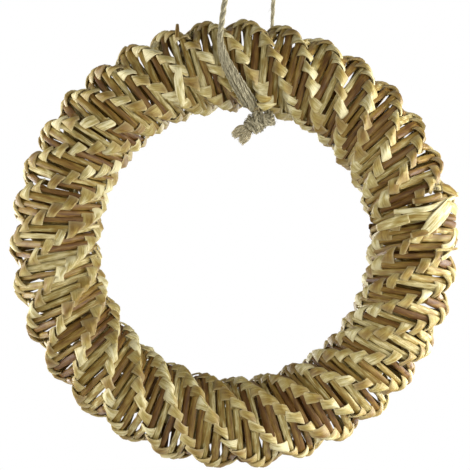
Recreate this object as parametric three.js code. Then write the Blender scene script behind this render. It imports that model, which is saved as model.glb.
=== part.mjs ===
// Ring of spirally plaited straw with its own hanging twine, in millimetres, +Z up.
// The ring stands upright with its front towards -Y. The origin is just under the
// top of the twine loop, where a peg or a nail carries the whole thing.

import * as THREE from 'three';

// Ring of the plait
const ringRadius = 107;
const crestRadius = 28.5;
const loopDrop = 42;
const ringShift = -11.2;

// Plait: bars laid in turn from corner to corner of a five-sided tube
const strawCount = 6;
const cornerCount = 5;
const barsPerStraw = 108;
const ridgePasses = 33;
const joinAngle = THREE.MathUtils.degToRad(80);
const firstCorner = THREE.MathUtils.degToRad(27.7);

// The hand that plaited it twisted more on one side of the ring than on the other.
const slowTwist = THREE.MathUtils.degToRad(28);
const slowTwistFrom = THREE.MathUtils.degToRad(-61);
const quickTwist = THREE.MathUtils.degToRad(13);
const quickTwistFrom = THREE.MathUtils.degToRad(72);

// The layers of bars lie askew to the tube: millimetres along the ring for each
// millimetre towards the hole and towards the front.
const askewInward = 0.03;
const askewForward = 0.14;
const askewShift = 0.8;

// Straw: a bar is wide on its layer, and its ridge stands proud of its bed
const ridgeHeight = 4;
const strawFill = 0.88;
const foldLength = 6;

// Each working end is pieced from stems that meet end to end in the middle of a bar.
const stemsPerStraw = 9;
const stemGap = 0.4;

// Twine
const twineDiameter = 3;
const twineSides = 8;
const twineSteps = 76;

// Knot under the inner edge of the ring, with the frayed ends of the twine
const knotRadius = 6;
const knotLength = 15;
const knotWraps = 3;
const knotGroove = 0.9;
const knotSides = 10;
const knotShift = 13;
const knotForward = 15;
const knotClearance = 3;
const tailLength = 10.5;
const tailNeckRadius = 3;
const tailEndRadius = 4.8;
const tailClearance = 0.35;
const tailSlope = THREE.MathUtils.degToRad(40);

const barCount = strawCount * barsPerStraw;
const turns = (barCount - ridgePasses) / cornerCount;
const barStep = 2 * Math.PI / barCount;
const cornerStep = 2 * Math.PI * turns / barCount;
const layerAngle = cornerCount * barStep;
const halfWidth = strawFill * layerAngle / 2;
const bedRadius = crestRadius - ridgeHeight;
const barLength = 2 * bedRadius * Math.sin(cornerStep / 2);
const ringCentre = new THREE.Vector3(ringShift, 0, -(loopDrop + ringRadius + crestRadius));

const strawColours = [0x9a7d4c, 0x8a6f45, 0xa08a58, 0x7d6440, 0x94794a, 0x8f8050];
const twineColour = 0x9b9170;
const tailColour = 0xb0a27c;

function dryFinish(colour) {
  return new THREE.MeshStandardMaterial({ color: colour, roughness: 0.75, metalness: 0 });
}

// A point of the tube: ring angle clockwise from the top as seen from the front, and
// a place across the tube, measured from its middle to the hole and to the front.
function tubePoint(ringAngle, inward, forward) {
  const radius = ringRadius - inward;
  const askew = askewShift + askewInward * inward - askewForward * forward;
  const angle = ringAngle + askew / ringRadius;
  return new THREE.Vector3(
    ringCentre.x + radius * Math.sin(angle),
    ringCentre.y - forward,
    ringCentre.z + radius * Math.cos(angle),
  );
}

// A place on the straight line between two corners of the tube, so far from the first.
function chordPlace(radius, fromAngle, toAngle, distance) {
  const start = new THREE.Vector2(Math.cos(fromAngle), Math.sin(fromAngle)).multiplyScalar(radius);
  const end = new THREE.Vector2(Math.cos(toAngle), Math.sin(toAngle)).multiplyScalar(radius);
  const share = distance / start.distanceTo(end);
  return start.lerp(end, share);
}

// Where a bar starts round the tube
function cornerAngle(bar) {
  const place = joinAngle + bar * barStep;
  const slow = slowTwist * Math.cos(place - slowTwistFrom);
  const quick = quickTwist * Math.cos(2 * (place - quickTwistFrom));
  return firstCorner + bar * cornerStep + slow + quick;
}

// A bar's section, so far along it as a share. Its two ends are cut slantwise, where
// the straw folds over the corner of the tube and goes on as the bar of the next face,
// one layer further.
function barSection(bar, share) {
  const middle = joinAngle + bar * barStep;
  const from = cornerAngle(bar);
  const to = cornerAngle(bar + 1);
  const bed = chordPlace(bedRadius, from, to, foldLength);
  const bedEnd = chordPlace(bedRadius, to, from, foldLength);
  const corner = chordPlace(bedRadius, from, to, 0);
  const cornerEnd = chordPlace(bedRadius, to, from, 0);
  const ridge = chordPlace(crestRadius, from, to, 0);
  const ridgeEnd = chordPlace(crestRadius, to, from, 0);
  const start = [
    tubePoint(middle - halfWidth, bed.x, bed.y),
    tubePoint(middle, ridge.x, ridge.y),
    tubePoint(middle + halfWidth, corner.x, corner.y),
  ];
  const end = [
    tubePoint(middle - halfWidth, cornerEnd.x, cornerEnd.y),
    tubePoint(middle, ridgeEnd.x, ridgeEnd.y),
    tubePoint(middle + halfWidth, bedEnd.x, bedEnd.y),
  ];
  return start.map((point, index) => point.lerp(end[index], share));
}

// Closed skin through sections of equal point counts, with a flat cap at each end.
function skin(sections) {
  const sides = sections[0].length;
  const places = sections.flat().flatMap((point) => point.toArray());
  const faces = [];
  for (let row = 0; row + 1 < sections.length; row++) {
    for (let side = 0; side < sides; side++) {
      const next = (side + 1) % sides;
      const a = row * sides + side;
      const b = row * sides + next;
      faces.push(a, b, a + sides);
      faces.push(b, b + sides, a + sides);
    }
  }
  const last = (sections.length - 1) * sides;
  for (let side = 1; side + 1 < sides; side++) {
    faces.push(0, side + 1, side);
    faces.push(last, last + side, last + side + 1);
  }
  const geometry = new THREE.BufferGeometry();
  geometry.setAttribute('position', new THREE.Float32BufferAttribute(places, 3));
  geometry.setIndex(faces);
  geometry.computeVertexNormals();
  return geometry;
}

// One stem of a straw. Every sixth bar belongs to the same straw.
function stemGeometry(straw, stem) {
  const firstRow = Math.round(stem * barsPerStraw / stemsPerStraw);
  const lastRow = Math.round((stem + 1) * barsPerStraw / stemsPerStraw);
  const gapShare = stemGap / (2 * barLength);
  const sections = [];
  for (let row = firstRow; row <= lastRow && row < barsPerStraw; row++) {
    const bar = straw + row * strawCount;
    const from = row === firstRow && stem > 0 ? 0.5 + gapShare : 0;
    const to = row === lastRow ? 0.5 - gapShare : 1;
    sections.push(barSection(bar, from), barSection(bar, to));
  }
  return skin(sections);
}

// Twine: from the knot up behind the ring, over the peg, down the front to the knot
const twineRoute = [
  [9.1, -14.5, -100.8],
  [11, -10.5, -102.6],
  [11.8, -4.5, -104.6],
  [12.2, 3, -104.9],
  [12, 11, -102.9],
  [11, 20, -97.1],
  [10, 27, -88],
  [9.5, 30.6, -77.6],
  [10, 30.4, -67],
  [10.8, 27.4, -58.2],
  [11.6, 21.5, -47],
  [12.3, 13.6, -32],
  [12.5, 6.2, -18],
  [11.3, 1.8, -6],
  [6.8, 0.4, 0.2],
  [0, 0, 1.9],
  [-6.8, -0.4, 0.2],
  [-11.6, -2, -6.5],
  [-14, -6.8, -18],
  [-16.5, -13.9, -31.2],
  [-18.6, -22, -46.5],
  [-19.4, -27.3, -56.4],
  [-17, -30.9, -67.5],
  [-12.5, -30.5, -76.5],
  [-6.8, -27, -86],
  [-2.3, -21.6, -93.4],
  [-0.9, -18, -96.6],
  [-0.6, -15.5, -98.3],
];

function twineGeometry() {
  const route = new THREE.CatmullRomCurve3(twineRoute.map((point) => new THREE.Vector3(...point)));
  const section = new THREE.Shape();
  for (let side = 0; side < twineSides; side++) {
    const angle = 2 * Math.PI * side / twineSides;
    const x = twineDiameter / 2 * Math.cos(angle);
    const y = twineDiameter / 2 * Math.sin(angle);
    if (side === 0) {
      section.moveTo(x, y);
    } else {
      section.lineTo(x, y);
    }
  }
  return new THREE.ExtrudeGeometry(section, { steps: twineSteps, bevelEnabled: false, extrudePath: route });
}

// Knot: wraps of twine side by side, closed on the axis at both ends
function knotGeometry() {
  const profile = [new THREE.Vector2(0, -knotLength / 2)];
  const wrapLength = knotLength / knotWraps;
  for (let wrap = 0; wrap < knotWraps; wrap++) {
    const start = -knotLength / 2 + wrap * wrapLength;
    const edge = knotRadius - knotGroove * (wrap === 0 ? 3 : 1);
    profile.push(new THREE.Vector2(edge, start));
    profile.push(new THREE.Vector2(knotRadius, start + wrapLength / 3));
    profile.push(new THREE.Vector2(knotRadius, start + wrapLength * 2 / 3));
  }
  profile.push(new THREE.Vector2(knotRadius - knotGroove * 3, knotLength / 2));
  profile.push(new THREE.Vector2(0, knotLength / 2));
  return new THREE.LatheGeometry(profile, knotSides);
}

function tailGeometry() {
  const profile = [
    new THREE.Vector2(0, 0),
    new THREE.Vector2(tailNeckRadius, 0),
    new THREE.Vector2((tailNeckRadius + tailEndRadius) / 2 + knotGroove, tailLength / 3),
    new THREE.Vector2(tailEndRadius, tailLength),
    new THREE.Vector2(0, tailLength),
  ];
  return new THREE.LatheGeometry(profile, knotSides);
}

const strawRing = new THREE.Group();
for (let straw = 0; straw < strawCount; straw++) {
  const finish = dryFinish(strawColours[straw % strawColours.length]);
  for (let stem = 0; stem < stemsPerStraw; stem++) {
    const mesh = new THREE.Mesh(stemGeometry(straw, stem), finish);
    mesh.name = `straw_${straw + 1}_stem_${stem + 1}`;
    strawRing.add(mesh);
  }
}

const twine = new THREE.Mesh(twineGeometry(), dryFinish(twineColour));
twine.name = 'hanging_twine';
strawRing.add(twine);

// The knot lies just under the inner crest of the plait, and the tail runs on from it.
const knotBelow = Math.sqrt((crestRadius + knotRadius + knotClearance) ** 2 - knotForward ** 2);
const knotGroup = new THREE.Group();
knotGroup.position.set(
  ringCentre.x + knotShift,
  -knotForward,
  ringCentre.z + Math.sqrt((ringRadius - knotBelow) ** 2 - knotShift ** 2),
);
knotGroup.rotation.y = -Math.PI / 2 - tailSlope;

const knotTurn = new THREE.Group();
knotTurn.rotation.x = Math.PI / 2;
knotGroup.add(knotTurn);

const knot = new THREE.Mesh(knotGeometry(), dryFinish(twineColour));
knot.name = 'twine_knot';
knotTurn.add(knot);

const tail = new THREE.Mesh(tailGeometry(), dryFinish(tailColour));
tail.name = 'twine_tail';
tail.position.y = knotLength / 2 + tailClearance;
knotTurn.add(tail);
strawRing.add(knotGroup);

export default strawRing;
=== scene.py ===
"""A ring of spirally plaited straw that hangs on its own knotted twine."""

from __future__ import annotations

import logging
import math
import random
from dataclasses import dataclass, field
from enum import Enum

import bpy
import numpy as np
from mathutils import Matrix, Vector


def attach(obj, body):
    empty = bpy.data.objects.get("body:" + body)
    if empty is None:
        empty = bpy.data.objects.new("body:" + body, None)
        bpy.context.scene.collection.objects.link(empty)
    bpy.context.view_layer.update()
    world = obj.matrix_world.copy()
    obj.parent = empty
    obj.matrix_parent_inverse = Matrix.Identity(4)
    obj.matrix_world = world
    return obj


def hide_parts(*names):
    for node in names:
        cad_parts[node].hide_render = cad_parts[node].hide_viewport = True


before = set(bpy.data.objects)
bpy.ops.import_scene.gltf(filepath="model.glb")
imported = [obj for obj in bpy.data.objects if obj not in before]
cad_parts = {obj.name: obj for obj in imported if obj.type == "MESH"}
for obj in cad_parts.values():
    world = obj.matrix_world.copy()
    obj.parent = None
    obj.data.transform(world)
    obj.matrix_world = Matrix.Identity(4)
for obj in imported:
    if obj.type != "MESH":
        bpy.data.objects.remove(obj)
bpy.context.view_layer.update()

Piece = bpy.types.Object
Socket = bpy.types.NodeSocket
Spot = tuple[float, float, float]
Span = tuple[float, float]

LOG = logging.getLogger("straw_ring")
MM = 0.001
BODY = "root"
TWINE_SEED = 11
HAIR_SIDES = 3
PLY_RADIUS = 0.84
PLY_OFFSET = 0.7
FIRST_COLOUR, SECOND_COLOUR, MIXED_COLOUR = 6, 7, 2


class Facing(Enum):
    """Which way one side of a flattened straw looks beside a corner: sideways, up and out."""

    OUT = (0.0, 0.0, 1.0)
    AHEAD = (1.0, 0.0, 0.0)
    IN = (0.0, 0.0, -1.0)
    BACK = (-1.0, 0.0, 0.0)


class Slot(Enum):
    """The record's material slots."""

    STRAW = "straw"
    TWINE = "twine"


def spread(amount: float, dice: random.Random) -> float:
    """A random share between -amount and +amount."""
    return dice.uniform(-amount, amount)


def smooth_through(keys: np.ndarray, steps: int) -> np.ndarray:
    """Runs a smooth line through rows of numbers.

    Args:
        keys: One row for each key.
        steps: Rows made from each key to the next.

    Returns:
        The finer rows, the last key included.
    """
    padded = np.vstack([2 * keys[0] - keys[1], keys, 2 * keys[-1] - keys[-2]])
    before, start, end, after = padded[:-3], padded[1:-2], padded[2:-1], padded[3:]
    rows = []
    for step in range(steps):
        t = step / steps
        rows.append(
            0.5
            * (
                2 * start
                + (end - before) * t
                + (2 * before - 5 * start + 4 * end - after) * t**2
                + (3 * start - before - 3 * end + after) * t**3
            )
        )
    fine = np.stack(rows, axis=1).reshape(-1, keys.shape[1])
    return np.vstack([fine, keys[-1]])


def tube_faces(rings: int, sides: int, first: int = 0) -> list[tuple[int, ...]]:
    """Faces of a closed tube whose points run ring by ring.

    Args:
        rings: How many rings of points it has.
        sides: Points in each ring.
        first: Number of the first point.

    Returns:
        The side faces and the two end faces.
    """
    faces: list[tuple[int, ...]] = []
    for ring in range(rings - 1):
        low = first + ring * sides
        for side in range(sides):
            after = (side + 1) % sides
            faces.append((low + side, low + after, low + sides + after, low + sides + side))
    last = first + (rings - 1) * sides
    faces.append(tuple(first + side for side in reversed(range(sides))))
    faces.append(tuple(last + side for side in range(sides)))
    return faces


def unit_rows(rows: np.ndarray) -> np.ndarray:
    """Rows scaled to a length of one."""
    return rows / np.linalg.norm(rows, axis=1, keepdims=True)


def run_along(path: np.ndarray) -> np.ndarray:
    """How far each point of a path is from its start, along the path."""
    return np.concatenate([[0], np.cumsum(np.linalg.norm(np.diff(path, axis=0), axis=1))])


def carried_frames(path: np.ndarray) -> tuple[np.ndarray, np.ndarray]:
    """Two directions across a path, carried along it without spin.

    Args:
        path: Points of the path.

    Returns:
        Both directions at each point.
    """
    along = unit_rows(np.gradient(path, axis=0))
    seed = np.array([0.0, 0.0, 1.0]) if abs(along[0][2]) < 0.9 else np.array([1.0, 0.0, 0.0])
    across = np.empty_like(path)
    across[0] = np.cross(along[0], seed)
    for i in range(1, len(path)):
        across[i] = across[i - 1] - along[i] * np.dot(across[i - 1], along[i])
    across = unit_rows(across)
    return across, np.cross(along, across)


def in_scene(name: str, data: bpy.types.ID) -> Piece:
    """A new object in the scene."""
    made = bpy.data.objects.new(name, data)
    bpy.context.scene.collection.objects.link(made)
    return made


def new_piece(name: str, points: np.ndarray, faces: list[tuple[int, ...]], smooth: bool = True) -> Piece:
    """Makes a mesh object.

    Args:
        name: The piece's name.
        points: Its points in metres.
        faces: Its faces.
        smooth: Whether its faces are shaded smooth.

    Returns:
        The new object, in the scene.
    """
    mesh = bpy.data.meshes.new(name)
    mesh.from_pydata(points.tolist(), [], faces)
    mesh.polygons.foreach_set("use_smooth", [smooth] * len(faces))
    mesh.update()
    return in_scene(name, mesh)


def mark(piece: Piece, name: str, values: np.ndarray) -> None:
    """Stores a number or a triple of numbers on each point of a piece.

    Args:
        piece: The piece.
        name: The attribute's name.
        values: One value, or one row of three, for each point.
    """
    kind, entry = ("FLOAT", "value") if values.ndim == 1 else ("FLOAT_VECTOR", "vector")
    attribute = piece.data.attributes.new(name, kind, "POINT")
    attribute.data.foreach_set(entry, values.astype(np.float32).ravel())


@dataclass(frozen=True)
class Plait:
    """How the plait runs round the ring, in millimetres and radians."""

    ring_radius: float = 107.0
    crest_radius: float = 28.5
    loop_drop: float = 42.0
    ring_shift: float = -11.2
    straws: int = 6
    corners: int = 5
    bars_per_straw: int = 108
    ridge_passes: int = 33
    join: float = math.radians(80)
    first_corner: float = math.radians(27.7)
    slow_twist: float = math.radians(28)
    slow_twist_from: float = math.radians(-61)
    quick_twist: float = math.radians(13)
    quick_twist_from: float = math.radians(72)
    askew_inward: float = 0.03
    askew_forward: float = 0.14
    askew_shift: float = 0.8
    skin_radius: float = 27.6
    ridge_round: float = math.radians(3)

    @property
    def bars(self) -> int:
        """Bars in the whole ring."""
        return self.straws * self.bars_per_straw

    @property
    def bar_step(self) -> float:
        """Ring angle from one bar to the next one laid."""
        return 2 * math.pi / self.bars

    @property
    def pitch(self) -> float:
        """Distance between neighbouring bars of a face, at the tube's middle."""
        return self.corners * self.bar_step * self.ring_radius

    @property
    def centre(self) -> Span:
        """Middle of the ring: sideways and up."""
        return self.ring_shift, -(self.loop_drop + self.ring_radius + self.crest_radius)

    def corner_angle(self, bar: float) -> float:
        """Where a bar starts round the tube.

        Args:
            bar: The bar's number.

        Returns:
            The tube angle, from the ring's inner edge over the front.
        """
        turns = (self.bars - self.ridge_passes) / self.corners
        place = self.join + bar * self.bar_step
        slow = self.slow_twist * math.cos(place - self.slow_twist_from)
        quick = self.quick_twist * math.cos(2 * (place - self.quick_twist_from))
        return self.first_corner + bar * 2 * math.pi * turns / self.bars + slow + quick

    def bar_place(self, bar: float) -> float:
        """Where a bar lies along the unbent tube.

        Args:
            bar: The bar's number.

        Returns:
            Distance along the tube's middle from the ring's top.
        """
        return self.ring_radius * (self.join + bar * self.bar_step)

    def ridge_slope(self, bar: int) -> float:
        """How a ridge turns round the tube beside a bar.

        Args:
            bar: The bar's number.

        Returns:
            Turn for each millimetre along the tube.
        """
        layer = self.bar_place(bar + self.corners) - self.bar_place(bar)
        return (self.corner_angle(bar + self.corners) - self.corner_angle(bar) - 2 * math.pi) / layer

    def skin_level(self, away: np.ndarray) -> np.ndarray:
        """Distance of the bars' skin from the tube's middle.

        Args:
            away: Turn from a ridge.

        Returns:
            The distances.
        """
        half_face = math.pi / self.corners
        folded = np.abs((away + half_face) % (2 * half_face) - half_face)
        rounded = np.sqrt(folded**2 + self.ridge_round**2)
        return self.skin_radius * math.cos(half_face) / np.cos(half_face - rounded)

    def bend(self, points: np.ndarray) -> np.ndarray:
        """Bends points of the straight tube round the ring.

        Args:
            points: Rows of inward, forward and along, in millimetres.

        Returns:
            Places in metres.
        """
        across, up = self.centre
        inward, forward, along = points.T
        askew = self.askew_shift + self.askew_inward * inward - self.askew_forward * forward
        angle = (along + askew) / self.ring_radius
        radius = self.ring_radius - inward
        places = [across + radius * np.sin(angle), -forward, up + radius * np.cos(angle)]
        return MM * np.stack(places, axis=1)


@dataclass(frozen=True)
class FoldKey:
    """One section of a straw beside a corner of the tube, in millimetres.

    Sideways and up are measured on the skin from the end of the bar that the fold lies
    over, and the height from the skin. The tilt turns the section's width from sideways
    towards up. A tuck lowers its upper edge and lifts its lower one.
    """

    sideways: float
    up: float
    height: float
    tilt: float
    half_width: float
    half_thickness: float
    facing: Facing
    pale: float = 0.0
    # Strength of the painted highlight along this part of the fold.
    crease: float = 0.0
    tuck: float = 0.0


FOLD_KEYS = (
    FoldKey(-5.4, 8.0, -1.9, 0, 2.0, 1.1, Facing.OUT),
    FoldKey(-4.6, 5.6, -2.6, 45, 1.4, 0.6, Facing.OUT),
    FoldKey(-3.9, 1.2, -2.1, 88, 2.6, 0.4, Facing.OUT, 0.8),
    FoldKey(-3.5, 0.9, -0.5, 90, 3.6, 0.35, Facing.AHEAD, 0.9, 1.0),
    FoldKey(-2.8, 0.7, 0.3, 91, 3.9, 0.4, Facing.IN, 1.0, 0.5, 0.6),
    FoldKey(0.4, -0.7, 0.8, 87, 3.3, 0.42, Facing.IN, 1.0, 0.0, 0.5),
    FoldKey(3.9, -2.6, 1.1, 84, 2.5, 0.42, Facing.IN, 1.0, 0.3, 0.2),
    FoldKey(4.9, -3.0, 0.2, 88, 2.3, 0.4, Facing.BACK, 1.0, 0.9),
    FoldKey(4.2, -2.2, -0.9, 75, 2.2, 0.45, Facing.OUT, 0.8, 0.3),
    FoldKey(2.4, 0.6, -1.5, 15, 2.3, 0.9, Facing.OUT, 0.4),
)


@dataclass(frozen=True)
class Unevenness:
    """How far bars and folds stray to both sides of their usual place and size."""

    bar_depth: float = 0.5
    bar_sideways: float = 0.75
    bar_taper: float = 0.12
    bar_tilt: float = 0.3
    fold_sideways: float = 0.7
    fold_up: float = 0.8
    fold_height: float = 0.35
    fold_breadth: float = 0.16
    fold_fan: float = 0.5
    fold_twist: float = 1.1
    fold_lift: float = 0.8
    fold_fade: float = 0.08
    fold_turn: float = 11.0
    fold_reach: float = 0.08


@dataclass
class StrawStrand:
    """One working end of the plait, as a hollow stem that folds over at each corner."""

    plait: Plait
    number: int
    sides: int = 12
    steps: int = 2
    lean: float = 0.6
    bar_radius: float = 25.1
    half_width: float = 2.45
    half_depth: float = 1.75
    fill: float = 0.97
    squareness: float = 0.75
    fan_reach: float = 5.5
    sharp_angle: float = math.radians(38)
    bar_stations: tuple[float, ...] = (-0.86, -0.4, 0.15, 0.6, 0.95)
    bar_shift: float = 0.3
    bar_pinch: float = 0.12
    bar_thinning: float = 0.3
    plumpness: Span = (0.64, 1.06)
    bar_tones: Span = (0.05, 0.95)
    fold_tones: Span = (0.0, 0.8)
    tone_kept: float = 0.3
    flattest: float = 0.35
    waists: Span = (-0.3, 1.0)
    rim_sink: float = 0.8
    rim_thickness: float = 1.0
    # Share of the folds' paleness taken off at the outer crest, a painted shade.
    crest_painted_shade: float = 0.65
    stray: Unevenness = Unevenness()
    rows: list[np.ndarray] = field(default_factory=list)

    def __post_init__(self) -> None:
        """Sets the outline that every section shares."""
        turn = 2 * math.pi * np.arange(self.sides) / self.sides
        self.across = np.sign(np.cos(turn)) * np.abs(np.cos(turn)) ** self.squareness
        self.through = np.sign(np.sin(turn)) * np.abs(np.sin(turn)) ** self.squareness

    def section(self, middle: np.ndarray, wide: np.ndarray, thick: np.ndarray) -> np.ndarray:
        """Points round one section."""
        return middle + np.outer(self.across, wide) + np.outer(self.through, thick)

    def add_row(self, points: np.ndarray, tone: float, pale: float, crease: float) -> None:
        """Adds one section with its looks.

        Args:
            points: Inward, forward and along of its points.
            tone: Colour tone, 0 to 1.
            pale: How much of the folds' paleness it has.
            crease: How strong the painted highlight along a crease is there.
        """
        self.rows.append(np.concatenate([points.ravel(), [tone, pale, crease]]))

    def add_bar(self, dice: random.Random, bar: int, tone: float, flat: float) -> None:
        """Adds the straight sections of one bar.

        Args:
            dice: Source of the small unevenness.
            bar: The bar's number.
            tone: The bar's colour tone, 0 to 1.
            flat: How much wider and thinner than a round stem it is.
        """
        start = self.plait.corner_angle(bar)
        half_turn = (self.plait.corner_angle(bar + 1) - start) / 2
        middle = start + half_turn
        reach = self.bar_radius * math.sin(half_turn)
        depth = self.bar_radius * math.cos(half_turn) + spread(self.stray.bar_depth, dice)
        sideways = spread(self.stray.bar_sideways, dice) + self.bar_shift
        plump = dice.uniform(*self.plumpness)
        taper = spread(self.stray.bar_taper, dice)
        tilt = spread(self.stray.bar_tilt, dice)
        out = np.array([math.cos(middle), math.sin(middle), 0.0])
        up = np.array([-math.sin(middle), math.cos(middle), 0.0])
        along = np.array([0.0, 0.0, 1.0])
        for station in self.bar_stations:
            point = out * depth + up * reach * station
            narrowing = 1 - point[0] / self.plait.ring_radius
            point[2] = self.plait.bar_place(bar) + sideways - self.lean * station / narrowing
            room = self.fill * self.plait.pitch / 2 * narrowing
            pinch = 1 - self.bar_pinch * station**4 + taper * station
            width = min(self.half_width * plump * (1 + flat), room) * pinch / narrowing
            thickness = self.half_depth * plump * (1 - 0.5 * flat)
            thickness *= 1 - self.bar_thinning * station**4
            wide = along * width * math.cos(tilt) + out * width * math.sin(tilt) * 0.7
            thick = out * thickness * math.cos(tilt) - along * thickness * math.sin(tilt)
            self.add_row(self.section(point, wide, thick), tone, 0.0, 0.0)

    def add_fold(self, dice: random.Random, bar: int, tone: float, flat: float) -> None:
        """Adds the fold that leads from the end of a bar to the straw's next bar.

        Args:
            dice: Source of the small unevenness.
            bar: Number of the bar that ends here.
            tone: The fold's colour tone, 0 to 1.
            flat: How much wider than usual it is.
        """
        under = bar + self.plait.corners
        corner = self.plait.corner_angle(under + 1)
        place = self.plait.bar_place(under)
        slope = self.plait.ridge_slope(under)
        inner = max(0.0, math.cos(corner))
        outer = max(0.0, -math.cos(corner))
        rim = outer**4
        stray = self.stray
        strays = (stray.fold_sideways, stray.fold_up, stray.fold_height)
        shift = np.array([spread(amount, dice) for amount in strays])
        broad = (1 + spread(stray.fold_breadth, dice)) * (1 + 0.6 * flat)
        fanning = 0.3 + 0.45 * inner - 0.65 * outer + spread(stray.fold_fan, dice)
        waist = dice.uniform(*self.waists) * (1 - outer)
        twist = spread(stray.fold_twist, dice)
        lift = spread(stray.fold_lift, dice)
        fade = spread(stray.fold_fade, dice)
        turn = spread(stray.fold_turn, dice)
        crest = self.plait.crest_radius
        stretch = self.plait.ring_radius / (self.plait.ring_radius - crest * math.cos(corner))
        squeeze = np.array([min(stretch, 1.0), 1.0, 1.0])
        reach = 0.45 * inner + spread(stray.fold_reach, dice)
        for key in FOLD_KEYS:
            shown = key.pale
            middle = np.array([key.sideways * (1 + reach * shown), key.up, key.height])
            middle += shift * shown
            middle[1] += inner * (0.8 + 0.12 * key.sideways) * shown
            middle[2] -= rim * self.rim_sink * shown
            tilt = math.radians(key.tilt + turn * shown)
            beside = key.sideways / self.fan_reach
            fan = 1 + (fanning * beside + waist * (beside**2 - 0.25)) * shown
            width = key.half_width * (1 + (broad - 1) * shown) * fan
            tuck = key.tuck + (lift + twist * beside) * shown
            wide = np.array([width * math.cos(tilt), width * math.sin(tilt), -tuck]) * squeeze
            thickness = key.half_thickness + self.rim_thickness * rim * shown
            thick = np.array(key.facing.value) * thickness * squeeze
            across, along, height = self.section(middle, wide, thick).T
            level = self.plait.skin_level(along / crest - slope * across) + height
            angle = corner + along / crest
            points = np.stack([level * np.cos(angle), level * np.sin(angle), place + across], axis=1)
            # Painted shade: the folds at the outer crest lose most of their paleness, and with it their edge
            # highlight.
            pale = key.pale * (1 - self.crest_painted_shade * rim)
            self.add_row(points, tone + fade * key.sideways * shown, pale, key.crease)

    def build(self, dice: random.Random) -> Piece:
        """Makes the straw's mesh with its looks on its points.

        Args:
            dice: Source of the small unevenness.

        Returns:
            The straw.
        """
        flat = 0.0
        for row in range(self.plait.bars_per_straw):
            bar = self.number + row * self.plait.straws
            tone = dice.uniform(*self.bar_tones)
            self.add_bar(dice, bar, tone, flat)
            flat = self.flattest * dice.random() ** 4
            if row + 1 < self.plait.bars_per_straw:
                fold_tone = self.tone_kept * tone + dice.uniform(*self.fold_tones)
                self.add_fold(dice, bar, fold_tone, flat)
        sections = smooth_through(np.array(self.rows), self.steps)
        rings = len(sections)
        points = sections[:, :-3].reshape(-1, 3)
        name = f"straw_strand_{self.number + 1}"
        piece = new_piece(name, self.plait.bend(points), tube_faces(rings, self.sides))
        piece.data.set_sharp_from_angle(angle=self.sharp_angle)
        run = run_along(points.reshape(rings, self.sides, 3).mean(axis=1))
        across = np.tile(self.across * self.half_width, rings)
        through = np.tile(self.through * self.half_width, rings)
        grain = np.stack([across, through, np.repeat(run + 1000 * self.number, self.sides)], axis=1)
        mark(piece, "grain", grain)
        for column, name in enumerate(("tone", "pale", "crease"), start=-3):
            mark(piece, name, np.repeat(sections[:, column], self.sides))
        # Painted highlight mask: the side edges of the pale folds.
        edge = np.tile(np.abs(self.across) ** 8, rings) * np.repeat(sections[:, -2], self.sides)
        mark(piece, "edge", edge)
        return piece


@dataclass(frozen=True)
class Shade:
    """A colour as red, green and blue light from 0 to 1."""

    red: float
    green: float
    blue: float

    @property
    def rgba(self) -> tuple[float, float, float, float]:
        """The colour with full cover."""
        return self.red, self.green, self.blue, 1.0


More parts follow.
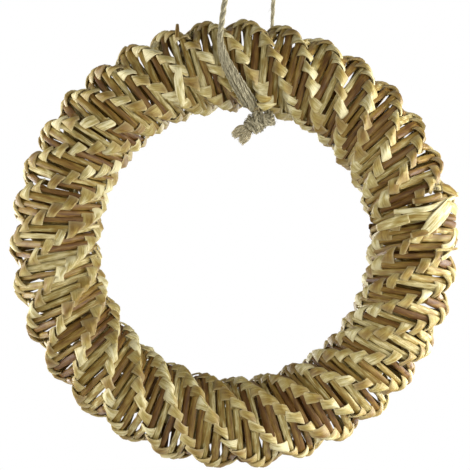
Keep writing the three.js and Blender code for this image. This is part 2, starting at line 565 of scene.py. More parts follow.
class NodeSheet:
    """A material's nodes, made one after another."""

    def __init__(self, name: str) -> None:
        """Starts an empty material.

        Args:
            name: The material's name.
        """
        self.material = bpy.data.materials.new(name)
        self.material.use_nodes = True
        self.tree = self.material.node_tree
        self.shader = self.tree.nodes["Principled BSDF"]

    def node(self, kind: str, inputs: dict[str, object] | None = None, **settings: object) -> bpy.types.Node:
        """Adds a node.

        Args:
            kind: The node's type.
            inputs: Values or sockets for its inputs.
            **settings: Its own settings.

        Returns:
            The new node.
        """
        made = self.tree.nodes.new(kind)
        for key, value in settings.items():
            setattr(made, key, value)
        for key, value in (inputs or {}).items():
            self.feed(made.inputs[key], value)
        return made

    def feed(self, socket: Socket, value: object) -> None:
        """Sets an input to a value, or links it to a socket.

        Args:
            socket: The input.
            value: A plain value or another node's output.
        """
        if isinstance(value, Socket):
            self.tree.links.new(value, socket)
        else:
            socket.default_value = value

    def mark(self, name: str) -> bpy.types.Node:
        """Reads what a piece's points carry under this name."""
        return self.node("ShaderNodeAttribute", attribute_name=name)

    def noise(self, vector: Socket, stretch: Spot, scale: float, detail: float, rough: float) -> Socket:
        """Cloudy noise.

        Args:
            vector: Where it is read.
            stretch: What the vector's three directions are multiplied by.
            scale: How fine it is.
            detail: How many finer layers it has.
            rough: How strong the finer layers are.

        Returns:
            The noise, from 0 to 1.
        """
        place = self.node("ShaderNodeMapping", {"Vector": vector, "Scale": stretch}).outputs["Vector"]
        inputs = {"Vector": place, "Scale": scale, "Detail": detail, "Roughness": rough}
        return self.node("ShaderNodeTexNoise", inputs).outputs["Fac"]

    def ramp(self, value: Socket, stops: tuple[tuple[float, Shade], ...]) -> Socket:
        """Colours picked by a value.

        Args:
            value: From 0 to 1.
            stops: Places and their colours.

        Returns:
            The colour.
        """
        made = self.node("ShaderNodeValToRGB", {"Fac": value})
        elements = made.color_ramp.elements
        while len(elements) < len(stops):
            elements.new(0.5)
        for element, (place, shade) in zip(elements, stops):
            element.position = place
            element.color = shade.rgba
        return made.outputs["Color"]

    def mixed(self, share: object, first: object, second: object) -> Socket:
        """Mixes two colours.

        Args:
            share: How much of the second one shows.
            first: The first colour.
            second: The second colour.

        Returns:
            The mixed colour.
        """
        made = self.node("ShaderNodeMix", {"Factor": share}, data_type="RGBA")
        self.feed(made.inputs[FIRST_COLOUR], first)
        self.feed(made.inputs[SECOND_COLOUR], second)
        return made.outputs[MIXED_COLOUR]

    def math(self, operation: str, first: object, second: object, clamp: bool = False) -> Socket:
        """Reckons with two numbers.

        Args:
            operation: What is done with them.
            first: The first number.
            second: The second number.
            clamp: Whether the result is kept from 0 to 1.

        Returns:
            The result.
        """
        made = self.node("ShaderNodeMath", operation=operation, use_clamp=clamp)
        for socket, value in zip(made.inputs, (first, second)):
            self.feed(socket, value)
        return made.outputs["Value"]

    def shaken(self, value: Socket, noise: Socket, strength: float) -> Socket:
        """A number moved up and down by a noise."""
        shift = self.math("MULTIPLY", self.math("SUBTRACT", noise, 0.5), strength)
        return self.math("ADD", value, shift)

    def surface(self, colour: Socket, roughness: float) -> None:
        """Gives the shader its colour and roughness."""
        self.feed(self.shader.inputs["Base Color"], colour)
        self.feed(self.shader.inputs["Roughness"], roughness)

    def bump(self, height: Socket, distance: float, strength: float) -> None:
        """Gives the shader a relief in metres."""
        inputs = {"Height": height, "Distance": distance, "Strength": strength}
        self.feed(self.shader.inputs["Normal"], self.node("ShaderNodeBump", inputs).outputs["Normal"])


@dataclass(frozen=True)
class StrawFinish:
    """Dry stems: brown and olive along the bars, pale where they are folded flat, with painted highlights on
    creases and side edges and painted shade in the fibre grooves.
    """

    name: str = "dry_straw"
    roughness: float = 0.5
    specular: float = 0.3
    relief: float = 0.00018
    relief_strength: float = 0.6
    streaks: float = 1.3
    blotches: float = 1.5
    # Strength of the painted highlights along creases and along the folds' side edges.
    crease_highlight_strength: float = 0.5
    edge_highlight_strength: float = 0.55
    # How dark the painted shade in the fibre grooves gets.
    groove_shadow_strength: float = 0.55
    groove_from: float = 0.42
    groove_full: float = 0.3
    bar_shades: tuple[tuple[float, Shade], ...] = (
        (0.0, Shade(0.100, 0.040, 0.006)),
        (0.3, Shade(0.180, 0.094, 0.015)),
        (0.6, Shade(0.260, 0.166, 0.031)),
        (0.85, Shade(0.370, 0.294, 0.100)),
        (1.0, Shade(0.580, 0.495, 0.245)),
    )
    fold_shades: tuple[tuple[float, Shade], ...] = (
        (0.0, Shade(0.180, 0.096, 0.014)),
        (0.35, Shade(0.285, 0.188, 0.035)),
        (0.7, Shade(0.415, 0.332, 0.108)),
        (1.0, Shade(0.700, 0.635, 0.370)),
    )
    # Colour of the painted highlights.
    painted_highlight_colour: Shade = Shade(0.665, 0.560, 0.305)
    # Colour of the painted shade in the grooves.
    groove_shadow_colour: Shade = Shade(0.085, 0.045, 0.012)

    def material(self) -> bpy.types.Material:
        """Builds the finish.

        Returns:
            The material.
        """
        sheet = NodeSheet(self.name)
        grain = sheet.mark("grain").outputs["Vector"]
        tone, pale, crease, edge = (
            sheet.mark(name).outputs["Fac"] for name in ("tone", "pale", "crease", "edge")
        )
        fibres = sheet.noise(grain, (1.0, 1.0, 0.03), 2.4, 6.0, 0.68)
        blotches = sheet.noise(grain, (0.5, 0.5, 0.12), 0.9, 3.0, 0.5)
        shade = sheet.shaken(sheet.shaken(tone, fibres, self.streaks), blotches, self.blotches)
        bars = sheet.ramp(shade, self.bar_shades)
        folds = sheet.ramp(shade, self.fold_shades)
        colour = sheet.mixed(pale, bars, folds)
        # Painted highlights: creases and the folds' side edges are lightened towards a pale colour.
        crease_highlight_mask = sheet.math("MULTIPLY", crease, self.crease_highlight_strength)
        edge_highlight_mask = sheet.math("MULTIPLY", edge, self.edge_highlight_strength)
        painted_highlight_mask = sheet.math("ADD", crease_highlight_mask, edge_highlight_mask, clamp=True)
        colour = sheet.mixed(painted_highlight_mask, colour, self.painted_highlight_colour.rgba)
        # Painted shade: the low points of the fibre relief, which the bump also uses, are darkened.
        groove_range = {
            "Value": fibres,
            "From Min": self.groove_from,
            "From Max": self.groove_full,
            "To Min": 0.0,
            "To Max": self.groove_shadow_strength,
        }
        grooves = sheet.node("ShaderNodeMapRange", groove_range).outputs["Result"]
        colour = sheet.mixed(grooves, colour, self.groove_shadow_colour.rgba)
        sheet.surface(colour, self.roughness)
        sheet.feed(sheet.shader.inputs["Specular IOR Level"], self.specular)
        sheet.bump(fibres, self.relief, self.relief_strength)
        return sheet.material


@dataclass(frozen=True)
class TwineFinish:
    """Hairy natural twine: greyish beige plies, darker in the low points of the fibre relief: the fibres'
    own tone mixed with a painted shade in the grooves.
    """

    name: str
    dark: Shade
    light: Shade
    roughness: float = 0.85
    relief: float = 0.00012
    relief_strength: float = 0.8

    def material(self) -> bpy.types.Material:
        """Builds the finish.

        Returns:
            The material.
        """
        sheet = NodeSheet(self.name)
        grain = sheet.mark("grain").outputs["Vector"]
        fibres = sheet.noise(grain, (1.0, 1.0, 0.12), 3.2, 5.0, 0.7)
        # Dark where the relief is low: partly the fibres' own colour, partly painted shade in the grooves.
        colour = sheet.ramp(fibres, ((0.36, self.dark), (0.66, self.light)))
        sheet.surface(colour, self.roughness)
        sheet.bump(fibres, self.relief, self.relief_strength)
        return sheet.material


TWINE_FINISHES = (
    TwineFinish("natural_twine", Shade(0.125, 0.102, 0.050), Shade(0.510, 0.460, 0.300)),
    TwineFinish("knotted_twine", Shade(0.165, 0.137, 0.072), Shade(0.560, 0.505, 0.335)),
    TwineFinish("frayed_twine", Shade(0.210, 0.160, 0.072), Shade(0.860, 0.770, 0.520)),
)


@dataclass(frozen=True)
class FloorFinish:
    """Matt white paper under everything."""

    name: str = "white_paper"
    light: Shade = Shade(0.82, 0.82, 0.81)
    dark: Shade = Shade(0.78, 0.78, 0.77)
    roughness: float = 0.9

    def material(self) -> bpy.types.Material:
        """Builds the finish.

        Returns:
            The material.
        """
        sheet = NodeSheet(self.name)
        places = sheet.node("ShaderNodeTexCoord").outputs["Object"]
        cloud = sheet.noise(places, (1.0, 1.0, 1.0), 40.0, 3.0, 0.5)
        colour = sheet.ramp(cloud, ((0.3, self.dark), (0.7, self.light)))
        sheet.surface(colour, self.roughness)
        return sheet.material


@dataclass(frozen=True)
class Lamp:
    """A soft square light: where it stands, its side in metres and its power in watts."""

    name: str
    place: Spot
    size: float
    power: float


LAMPS = (
    Lamp("key_light", (0.6, -1.0, 0.0), 0.4, 5.2),
    Lamp("left_light", (-1.1, 0.0, -0.2), 0.6, 15.0),
    Lamp("back_left_light", (-0.6, 0.8, -0.3), 0.5, 6.5),
    Lamp("back_right_light", (0.6, 0.8, -0.4), 0.5, 7.0),
    Lamp("right_light", (1.1, -0.05, -0.2), 0.6, 24.0),
)


@dataclass
class Studio:
    """Camera, lights and floor."""

    picture_pixels: int = 470
    pixel_size: float = 0.6 * MM
    picture_middle: Span = (-10.8 * MM, -172.2 * MM)
    distance: float = 1.5
    sensor: float = 36.0
    floor_level: float = -0.45
    floor_radius: float = 1.1
    floor_corners: int = 64
    surround_light: float = 0.33

    def build_camera(self) -> None:
        """Sets the camera straight in front of the ring."""
        data = bpy.data.cameras.new("camera")
        data.sensor_width = self.sensor
        data.lens = self.sensor * self.distance / (self.picture_pixels * self.pixel_size)
        camera = in_scene("camera", data)
        across, up = self.picture_middle
        camera.location = (across, -self.distance, up)
        camera.rotation_euler = (math.pi / 2, 0.0, 0.0)
        bpy.context.scene.camera = camera

    def place_lamp(self, lamp: Lamp) -> None:
        """Sets up a lamp that looks at the ring.

        Args:
            lamp: The lamp.
        """
        data = bpy.data.lights.new(lamp.name, "AREA")
        data.size = lamp.size
        data.energy = lamp.power
        light = in_scene(lamp.name, data)
        across, up = self.picture_middle
        light.location = lamp.place
        aim = Vector((across, 0.0, up)) - Vector(lamp.place)
        light.rotation_euler = aim.to_track_quat("-Z", "Y").to_euler()

    def build_lights(self) -> None:
        """Sets a white surround and soft lamps on all sides."""
        world = bpy.data.worlds.new("surround")
        world.use_nodes = True
        nodes, links = world.node_tree.nodes, world.node_tree.links
        surround = nodes["Background"]
        surround.inputs["Color"].default_value = (1.0, 1.0, 1.0, 1.0)
        seen = nodes.new("ShaderNodeLightPath")
        level = nodes.new("ShaderNodeMapRange")
        level.inputs["To Min"].default_value = self.surround_light
        level.inputs["To Max"].default_value = 1.0
        links.new(seen.outputs["Is Camera Ray"], level.inputs["Value"])
        links.new(level.outputs["Result"], surround.inputs["Strength"])
        bpy.context.scene.world = world
        bpy.context.scene.view_settings.view_transform = "Standard"
        for lamp in LAMPS:
            self.place_lamp(lamp)

    def build_floor(self) -> None:
        """Lays a round white floor under the ring."""
        turn = 2 * math.pi * np.arange(self.floor_corners) / self.floor_corners
        across = self.picture_middle[0] + self.floor_radius * np.cos(turn)
        deep = self.floor_radius * np.sin(turn)
        points = np.stack([across, deep, np.full_like(turn, self.floor_level)], axis=1)
        floor = new_piece("floor", points, [tuple(range(self.floor_corners))], smooth=False)
        floor.data.materials.append(FloorFinish().material())


TWINE_ROUTE = (
    (9.1, -14.5, -100.8), (11, -10.5, -102.6), (11.8, -4.5, -104.6), (12.2, 3, -104.9),
    (12, 11, -102.9), (11, 20, -97.1), (10, 27, -88), (9.5, 30.6, -77.6),
    (10, 30.4, -67), (10.8, 27.4, -58.2), (11.6, 21.5, -47), (12.3, 13.6, -32),
    (12.5, 6.2, -18), (11.3, 1.8, -6), (6.8, 0.4, 0.2), (0, 0, 1.9),
    (-6.8, -0.4, 0.2), (-11.6, -2, -6.5), (-14, -6.8, -18), (-16.5, -13.9, -31.2),
    (-18.6, -22, -46.5), (-19.4, -27.3, -56.4), (-17, -30.9, -67.5), (-12.5, -30.5, -76.5),
    (-6.8, -27, -86), (-2.3, -21.6, -93.4), (-0.9, -18, -96.6), (-0.6, -15.5, -98.3),
)
TWINE_THICKNESS = (
    1.0, 1.0, 1.0, 1.0, 0.9, 0.8, 0.7, 0.65, 0.62, 0.62, 0.66, 0.88, 0.95, 1.0,
    1.0, 1.0, 1.0, 1.1, 1.2, 1.2, 1.2, 1.2, 1.1, 1.05, 1.0, 1.0, 1.0, 1.0,
)


@dataclass
class TubeBatch:
    """Many tubes gathered into one mesh, in millimetres."""

    sides: int = 8
    grain_shift: float = 37.0
    count: int = 0
    points: list[np.ndarray] = field(default_factory=list)
    faces: list[tuple[int, ...]] = field(default_factory=list)
    grain: list[np.ndarray] = field(default_factory=list)
    tubes: int = 0

    def add(self, path: np.ndarray, wide: np.ndarray, thick: np.ndarray, sides: int | None = None) -> None:
        """Adds one tube.

        Args:
            path: Its middle line.
            wide: Half width at each point of the line.
            thick: Half thickness at each point of the line.
            sides: How many sides it has, where it isn't the usual number.
        """
        sides = sides or self.sides
        turn = 2 * math.pi * np.arange(sides) / sides
        across, through = np.cos(turn)[None, :, None], np.sin(turn)[None, :, None]
        skin = path[:, None, :] + wide[:, None, :] * across + thick[:, None, :] * through
        self.faces += tube_faces(len(path), sides, self.count)
        self.points.append(skin.reshape(-1, 3))
        self.count += len(path) * sides
        broad = np.linalg.norm(wide, axis=1)[:, None]
        deep = np.linalg.norm(thick, axis=1)[:, None]
        run = run_along(path)[:, None] + self.grain_shift * self.tubes
        rows = [np.cos(turn) * broad, np.sin(turn) * deep, np.repeat(run, sides, axis=1)]
        self.grain.append(np.stack(rows, axis=2).reshape(-1, 3))
        self.tubes += 1

    def add_round(self, path: np.ndarray, radius: np.ndarray, sides: int | None = None) -> None:
        """Adds a round tube.

        Args:
            path: Its middle line.
            radius: Its radius at each point.
            sides: How many sides it has, where it isn't the usual number.
        """
        across, over = carried_frames(path)
        self.add(path, across * radius[:, None], over * radius[:, None], sides)

    def add_twisted(
        self,
        path: np.ndarray,
        thickness: np.ndarray | float,
        lay: float,
        start: float = 0.0,
        plies: int = 2,
    ) -> None:
        """Adds plies twisted round each other.

        Args:
            path: Middle line of the strand.
            thickness: Share of the usual thickness, everywhere or at each point.
            lay: Length of one twist.
            start: Turn at the first point.
            plies: How many plies there are.
        """
        across, over = carried_frames(path)
        share = np.full(len(path), thickness) if np.isscalar(thickness) else thickness
        for ply in range(plies):
            spin = start + 2 * math.pi * (run_along(path) / lay + ply / plies)
            outward = across * np.cos(spin)[:, None] + over * np.sin(spin)[:, None]
            line = path + outward * (PLY_OFFSET * share)[:, None]
            self.add_round(line, PLY_RADIUS * share)

    def piece(self, name: str) -> Piece:
        """Makes the mesh object with its grain.

        Args:
            name: The piece's name.

        Returns:
            The piece.
        """
        made = new_piece(name, np.vstack(self.points) * MM, self.faces)
        mark(made, "grain", np.vstack(self.grain))
        return made


@dataclass
class HangingTwine:
    """Loop of twisted twine that carries the ring."""

    diameter: float = 3.0
    steps: int = 12
    sides: int = 10
    lay: float = 21.0
    plies: int = 3
    hairs: int = 150
    hair_radius: float = 0.06
    hair_root: float = 1.1
    hair_tips: Span = (2.0, 3.1)
    hair_sweep: float = 2.2
    hair_arch: float = 0.3
    bare_ends: int = 4

    def build(self, dice: random.Random, companions: list[Piece]) -> Piece:
        """Args:
            dice: Source of the hairs' places.
            companions: The pieces that move with the twine; not used.

        Returns:
            The twine.
        """
        keys = np.column_stack([np.array(TWINE_ROUTE, dtype=float), TWINE_THICKNESS])
        fine = smooth_through(keys, self.steps)
        path = fine[:, :3]
        batch = TubeBatch(self.sides)
        batch.add_twisted(path, fine[:, 3], self.lay, plies=self.plies)
        across, over = carried_frames(path)
        along = unit_rows(np.gradient(path, axis=0))
        for _ in range(self.hairs):
            place = dice.randrange(self.bare_ends, len(path) - self.bare_ends)
            spin = dice.uniform(0, 2 * math.pi)
            outward = across[place] * math.cos(spin) + over[place] * math.sin(spin)
            sweep = along[place] * spread(self.hair_sweep, dice)
            start = path[place] + outward * self.hair_root
            tip = path[place] + outward * dice.uniform(*self.hair_tips) + sweep
            middle = (start + tip) / 2 + outward * self.hair_arch
            line = smooth_through(np.array([start, middle, tip]), 3)
            radius = np.linspace(self.hair_radius, self.hair_radius / 3, len(line))
            batch.add_round(line, radius, HAIR_SIDES)
        piece = batch.piece("twine")
        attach(piece, BODY)
        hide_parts("hanging_twine")
        return piece


@dataclass(frozen=True)
class LooseStrand:
    """A strand that opens beside the twine: how far to the right and in front, in millimetres."""

    right: float
    front: float
    thickness: float


LOOSE_STRANDS = (
    LooseStrand(-4.4, -1.8, 0.5),
    LooseStrand(-3.0, -0.2, 0.66),
    LooseStrand(-1.2, 1.3, 0.56),
    LooseStrand(1.5, 1.0, 0.66),
    LooseStrand(3.2, -0.6, 0.56),
)
STRAND_OPENING = (0.0, 0.3, 0.62, 0.8, 0.95, 1.05)


KNOT_CROSSINGS = (
    ((-4.6, 0.6, 5.0), (-2.6, 4.6, 3.8), (-0.6, 6.4, 0.8), (1.2, 5.6, -2.6), (2.6, 2.4, -5.0)),
    ((3.6, 0.8, 4.4), (2.2, 4.6, 2.8), (0.2, 6.0, -0.6), (-2.0, 4.6, -3.6), (-3.6, 1.0, -5.0)),
)
KNOT_COLLAR = (
    (6.2, -11.4, -98.0), (9.6, -12.4, -98.8), (11.4, -15.4, -101.8), (9.8, -18.6, -104.6),
    (6.8, -20.0, -103.6), (5.0, -18.4, -100.4), (5.2, -14.6, -97.6),
)
KNOT_COLLARS = (((0.0, 0.0, 0.0), 0.95), ((0.2, -0.6, -2.2), 0.8))
KNOT_FILLING = ((4.0, -15.0, -103.4), (10.6, -13.6, -102.8))
FILLING_RADII = (2.0, 3.0, 3.3, 3.0, 2.0)
CORE_RADII = (2.4, 3.8, 4.3, 4.5, 4.5, 4.4, 4.0, 3.3, 2.6)
LOBE_RADII = (1.8, 2.0, 2.0, 1.8, 1.4, 0.6)


@dataclass
class TwineTrimmings:
    """The loosened strands beside the twine, the knot and the frayed ends, in millimetres."""

    knot_middle: Spot = (1.8, -15.0, -105.4)
    slope: float = math.radians(40)
    strand_keys: tuple[int, int] = (20, 26)
    strand_lay: float = 10.0
    strand_start: float = 1.3
    edge_level: float = -93.8
    coil_steps: int = 170
    coil_turns: float = 4.6
    coil_radius: float = 4.9
    coil_length: float = 10.0
    coil_rounding: float = 0.66
    coil_thickness: float = 0.86
    coil_wobble: float = 0.5
    crossing_thickness: float = 0.7
    crossing_lay: float = 7.0
    knot_lay: float = 8.0
    core_ends: Span = (-6.5, 6.0)
    threads: int = 70
    thread_steps: int = 11
    thread_turns: Span = (0.8, 2.6)
    thread_reach: Span = (5.5, 6.6)
    thread_radii: Span = (0.1, 0.22)
    thread_sideways: float = 5.0
    thread_slant: float = 4.0
    thread_rounding: float = 9.0
    tail_start: float = 5.6
    tail_length: float = 11.0
    tail_fibres: int = 210
    tail_sides: int = 5
    fibre_radius: float = 0.3
    fibre_lengths: Span = (0.6, 0.98)
    short_lobe: float = 0.92
    lobe_ends: Span = (-0.5, 5.0)

    def knot_axes(self) -> tuple[np.ndarray, np.ndarray, np.ndarray]:
        """The knot's directions.

        Returns:
            Its middle line towards the tail, the way to the front, and the way across.
        """
        along = np.array([-math.cos(self.slope), 0.0, -math.sin(self.slope)])
        front = np.array([0.0, -1.0, 0.0])
        return along, front, np.cross(along, front)

    def round_knot(self, line: np.ndarray, reach: np.ndarray, spin: np.ndarray) -> np.ndarray:
        """Points round the knot's middle line.

        Args:
            line: Points on the middle line.
            reach: Distance from it at each point.
            spin: Turn round it at each point, from the front.

        Returns:
            The points.
        """
        _, front, across = self.knot_axes()
        forward, sideways = reach * np.cos(spin), reach * np.sin(spin)
        return line + np.outer(forward, front) + np.outer(sideways, across)

    def build_strands(self) -> Piece:
        """Makes the plies that open beside the twine and dive under the ring's inner edge.

        Returns:
            The strands.
        """
        batch = TubeBatch()
        down = np.array(TWINE_ROUTE[slice(*self.strand_keys)], dtype=float)
        opening = np.array(STRAND_OPENING)[:, None]
        for number, strand in enumerate(LOOSE_STRANDS):
            beside = np.array([0.9 * strand.right, -strand.front, 0.45 * strand.right])
            keys = down + opening * beside
            keys[-1, 2] = max(keys[-1, 2], self.edge_level)
            right = keys[-1, 0]
            end = np.array([[right + 1.2, -15.2, -96.0], [right + 1.6, -8.0, -93.0]])
            path = smooth_through(np.vstack([keys, end]), 8)
            batch.add_twisted(path, strand.thickness, self.strand_lay, self.strand_start * number)
        piece = batch.piece("loose_strands")
        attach(piece, BODY)
        return piece

    def wind_coil(self, batch: TubeBatch) -> None:
        """Winds the knot's turns and lays two strands across them.

        Args:
            batch: What the strands are added to.
        """
        along, front, across = self.knot_axes()
        middle = np.array(self.knot_middle)
        share = np.linspace(-1, 1, self.coil_steps)
        spin = share * math.pi * self.coil_turns
        radius = self.coil_radius * np.sqrt(1 - (self.coil_rounding * share) ** 2)
        wobble = self.coil_wobble * np.sin(spin * 0.5 + 1)
        line = middle + np.outer(share * self.coil_length / 2 + wobble, along)
        batch.add_twisted(self.round_knot(line, radius, spin), self.coil_thickness, self.knot_lay)
        for keys in KNOT_CROSSINGS:
            crossing = middle + np.array(keys) @ np.array([along, front, across])
            path = smooth_through(crossing, 10)
            batch.add_twisted(path, self.crossing_thickness, self.crossing_lay)

    def fill_knot(self, batch: TubeBatch) -> None:
        """Adds the knot's core and the collar where the twine leaves it.

        Args:
            batch: What they are added to.
        """
        along, _, _ = self.knot_axes()
        core = np.linspace(*self.core_ends, len(CORE_RADII))
        batch.add_round(np.array(self.knot_middle) + np.outer(core, along), np.array(CORE_RADII))
        for shift, thickness in KNOT_COLLARS:
            collar = smooth_through(np.array(KNOT_COLLAR) + np.array(shift), 12)
            batch.add_twisted(collar, thickness, self.knot_lay)
        filling = np.linspace(*KNOT_FILLING, len(FILLING_RADII))
        batch.add_round(filling, np.array(FILLING_RADII))

    def build_knot(self, dice: random.Random) -> Piece:
        """Makes the wound knot.

        Args:
            dice: Source of its loose threads.

        Returns:
            The knot.
        """
        along, _, _ = self.knot_axes()
        batch = TubeBatch()
        self.wind_coil(batch)
        self.fill_knot(batch)
        steps = self.thread_steps
        for _ in range(self.threads):
            start = dice.uniform(0, 2 * math.pi)
            turns = np.linspace(start, start + dice.uniform(*self.thread_turns), steps)
            place = spread(self.thread_sideways, dice)
            place = place + np.linspace(0, spread(self.thread_slant, dice), steps)
            bulge = np.sqrt(np.clip(1 - (place / self.thread_rounding) ** 2, 0.3, 1))
            reach = dice.uniform(*self.thread_reach) * bulge
            line = np.array(self.knot_middle) + np.outer(place, along)
            radius = np.full(steps, dice.uniform(*self.thread_radii))
            batch.add_round(self.round_knot(line, reach, turns), radius, HAIR_SIDES)
        piece = batch.piece("knot")
        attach(piece, BODY)
        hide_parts("twine_knot")
        return piece

    def build_tail(self, dice: random.Random) -> Piece:
        """Lays the frayed fibres in two lobes.

        Args:
            dice: Source of the fibres' places.

        Returns:
            The tail.
        """
        along, front, across = self.knot_axes()
        neck = np.array(self.knot_middle) + along * self.tail_start
        batch = TubeBatch(self.tail_sides)
        for _ in range(self.tail_fibres):
            lobe = 1 if dice.random() < 0.5 else -1
            spin = dice.uniform(0, 2 * math.pi)
            out = math.sqrt(dice.random())
            forward, sideways = out * math.cos(spin), out * math.sin(spin)
            base = front * (2.4 * forward) + across * (lobe * 0.9 + 1.9 * sideways)
            end = front * (3.4 * forward) + across * (lobe * 3.0 + 2.5 * sideways)
            length = self.tail_length * dice.uniform(*self.fibre_lengths)
            length *= 1 if lobe > 0 else self.short_lobe
            kink = front * spread(1.7, dice) + across * spread(1.5, dice)
            halfway = base * 0.45 + end * 0.55 + along * length * 0.5 + kink
            line = smooth_through(neck + np.array([base, halfway, end + along * length]), 3)
            radius = self.fibre_radius * dice.uniform(0.6, 1.2)
            batch.add_round(line, radius * np.linspace(1.2, 0.6, len(line)))
        count = len(LOBE_RADII)
        for lobe in (1, -1):
            line = neck + np.outer(np.linspace(*self.lobe_ends, count), along)
            line = line + across * (lobe * np.linspace(0.9, 1.8, count))[:, None]
            batch.add_round(line, np.array(LOBE_RADII))
        piece = batch.piece("tail")
        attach(piece, BODY)
        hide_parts("twine_tail")
        return piece


@dataclass(frozen=True)
class Blade:
    """One loose straw.

    Its stations hold the ring angle in degrees and, in millimetres, the distance from
    the ring's middle, the distance to the front and the half width.
    """

    stations: tuple[tuple[float, float, float, float], ...]
    tone: float
    pale: float
    roll: float = 0.0
    half_thickness: float = 0.4


BLADES = (
    Blade(((78.6, 96, 25.8, 1.4), (79.4, 106, 28.6, 1.7), (79.6, 116, 28.0, 1.7),
           (78.7, 127, 21.0, 1.6), (77.4, 137, 9.5, 1.2)), 0.98, 1.0),
    Blade(((78.6, 131, 16.5, 2.6), (80.6, 126.5, 23, 4.2), (83.4, 119, 28, 4.4),
           (86.6, 112, 28.8, 2.8)), 0.85, 1.0),
    Blade(((74.6, 127, 20.5, 2.6), (76.0, 132.5, 16, 3.8), (77.3, 136.0, 9.5, 2.6)), 0.35, 0.9, 20),
    Blade(((79.4, 127.5, 21, 2.0), (80.8, 132.0, 15, 3.2), (82.0, 134.2, 9, 2.4)), 0.6, 1.0, -15),
    Blade(((82.2, 124, 22.6, 2.0), (82.8, 128.5, 19, 2.6), (83.2, 131.6, 15, 2.2)), 0.05, 0.2, 25, 1.3),
    Blade(((84.1, 124, 22.6, 2.0), (84.8, 128.5, 19, 2.4), (85.1, 131.2, 15, 2.0)), 0.0, 0.1, -20, 1.3),
    Blade(((83.6, 85, 17, 2.0), (82.7, 91, 23.5, 3.0), (82.0, 98, 27.8, 3.1),
           (81.6, 104, 28.6, 2.6)), 0.6, 1.0),
    Blade(((81.2, 101, 28.0, 2.4), (81.3, 109, 29.2, 2.7), (81.9, 116, 28.2, 2.6),
           (82.4, 121, 25.5, 2.2)), 0.5, 1.0),
    Blade(((86.6, 131.2, 15, 1.2), (88.4, 130.6, 18, 1.6), (90.2, 127.6, 21.5, 1.7),
           (90.8, 122.5, 24, 1.3)), 0.95, 1.0),
    Blade(((91.7, 119, 25.5, 0.9), (91.5, 126, 21.5, 0.9), (91.2, 132.6, 14, 0.7)), 0.5, 0.8, 0, 0.5),
    Blade(((94.2, 122.5, 22.5, 1.1), (93.2, 126, 20.5, 1.5), (91.9, 129, 17, 1.0)), 0.9, 1.0),
    Blade(((76.6, 108, 27.6, 1.6), (77.0, 117, 27.0, 2.0), (76.6, 125.5, 22, 1.8)), 0.35, 0.3, 0, 1.3),
    Blade(((87.4, 104, 28.6, 1.6), (86.4, 112, 28.8, 1.9), (86.2, 120, 25.6, 1.7)), 0.3, 0.4, 0, 0.8),
    Blade(((9.0, 84.2, 18.6, 1.4), (11.0, 82.6, 22.4, 2.6), (13.6, 83.4, 22.6, 2.8),
           (16.6, 86.6, 19.4, 0.8)), 0.8, 1.0),
    Blade(((8.2, 88.6, 23.4, 1.6), (10.0, 87.2, 25.4, 2.8), (12.2, 87.0, 25.2, 2.8),
           (14.2, 88.6, 22.8, 1.4)), 0.55, 1.0),
    Blade(((339.4, 87, 21, 1.2), (340.4, 95, 27, 2.6), (341.4, 103, 28.8, 2.6),
           (342.6, 109, 28.6, 1.4)), 0.95, 1.0),
    Blade(((344.4, 126, 20, 1.2), (345.0, 131, 15, 1.3), (345.4, 135, 9, 1.0)), 0.3, 0.3, 0, 0.8),
)


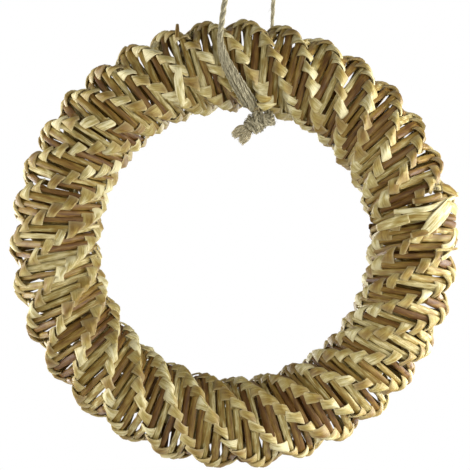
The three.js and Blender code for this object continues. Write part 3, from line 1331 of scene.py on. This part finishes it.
@dataclass
class LooseStraws:
    """Stem ends and flattened stems that lie loose over the plait."""

    plait: Plait
    steps: int = 6
    sides: int = 10

    def build(self) -> Piece:
        """Makes them as one piece.

        Returns:
            The loose straws.
        """
        across, up = self.plait.centre
        batch = TubeBatch(self.sides)
        looks: list[np.ndarray] = []
        for blade in BLADES:
            rows = smooth_through(np.array(blade.stations), self.steps)
            angle = np.radians(rows[:, 0])
            path = np.stack(
                [across + rows[:, 1] * np.sin(angle), -rows[:, 2], up + rows[:, 1] * np.cos(angle)], axis=1
            )
            along = unit_rows(np.gradient(path, axis=0))
            radial = np.stack([np.sin(angle), np.zeros_like(angle), np.cos(angle)], axis=1)
            middle = np.array([across, 0.0, up]) + radial * self.plait.ring_radius
            wide = unit_rows(np.cross(along, unit_rows(path - middle)))
            roll = math.radians(blade.roll)
            thick = np.cross(wide, along)
            turned = wide * math.cos(roll) + thick * math.sin(roll)
            flat = np.cross(turned, along)
            batch.add(path, turned * rows[:, 3:4], flat * blade.half_thickness)
            count = len(path) * self.sides
            # The two end rings get the full crease lightening.
            ends = np.zeros(len(path))
            ends[[0, -1]] = 1.0
            tones, pales = np.full(count, blade.tone), np.full(count, blade.pale)
            looks.append(np.stack([tones, pales, np.repeat(ends, self.sides)], axis=1))
        piece = batch.piece("loose_straws")
        rows = np.vstack(looks)
        for column, name in enumerate(("tone", "pale", "crease")):
            mark(piece, name, rows[:, column])
        # Painted highlight mask: the side edges of the pale blades.
        turn = 2 * math.pi * np.arange(self.sides) / self.sides
        edge = np.tile(np.abs(np.cos(turn)) ** 8, len(rows) // self.sides) * rows[:, 1]
        mark(piece, "edge", edge)
        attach(piece, BODY)
        return piece


@dataclass
class StrawRing:
    """The plaited ring: six straws with one finish."""

    plait: Plait = Plait()
    seed: int = 5

    def build(self) -> None:
        """Makes the straws and lets them stand for the plain ones."""
        finish = StrawFinish().material()
        for number in range(self.plait.straws):
            dice = random.Random(self.seed + number)
            strand = StrawStrand(self.plait, number).build(dice)
            strand.data.materials.append(finish)
            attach(strand, BODY)
            prefix = f"straw_{number + 1}_stem_"
            stems = [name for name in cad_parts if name.startswith(prefix)]
            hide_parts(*stems)
            LOG.info("%s has %d faces", strand.name, len(strand.data.polygons))
        loose = LooseStraws(self.plait).build()
        loose.data.materials.append(finish)
        LOG.info("%s has %d faces", loose.name, len(loose.data.polygons))


def main() -> None:
    """Builds everything in order."""
    logging.basicConfig(level=logging.INFO, format="%(name)s: %(message)s")
    studio = Studio()
    studio.build_camera()
    LOG.info("camera set")
    dice = random.Random(TWINE_SEED)
    trimmings = TwineTrimmings()
    companions = [trimmings.build_knot(dice), trimmings.build_tail(dice)]
    companions.append(trimmings.build_strands())
    twine = HangingTwine().build(dice, companions)
    natural, knotted, frayed = (finish.material() for finish in TWINE_FINISHES)
    for piece, finish in zip((twine, *companions), (natural, knotted, frayed, natural)):
        piece.data.materials.append(finish)
        LOG.info("%s has %d faces", piece.name, len(piece.data.polygons))
    StrawRing().build()
    LOG.info("ring made")
    studio.build_lights()
    studio.build_floor()


if __name__ == "__main__":
    main()
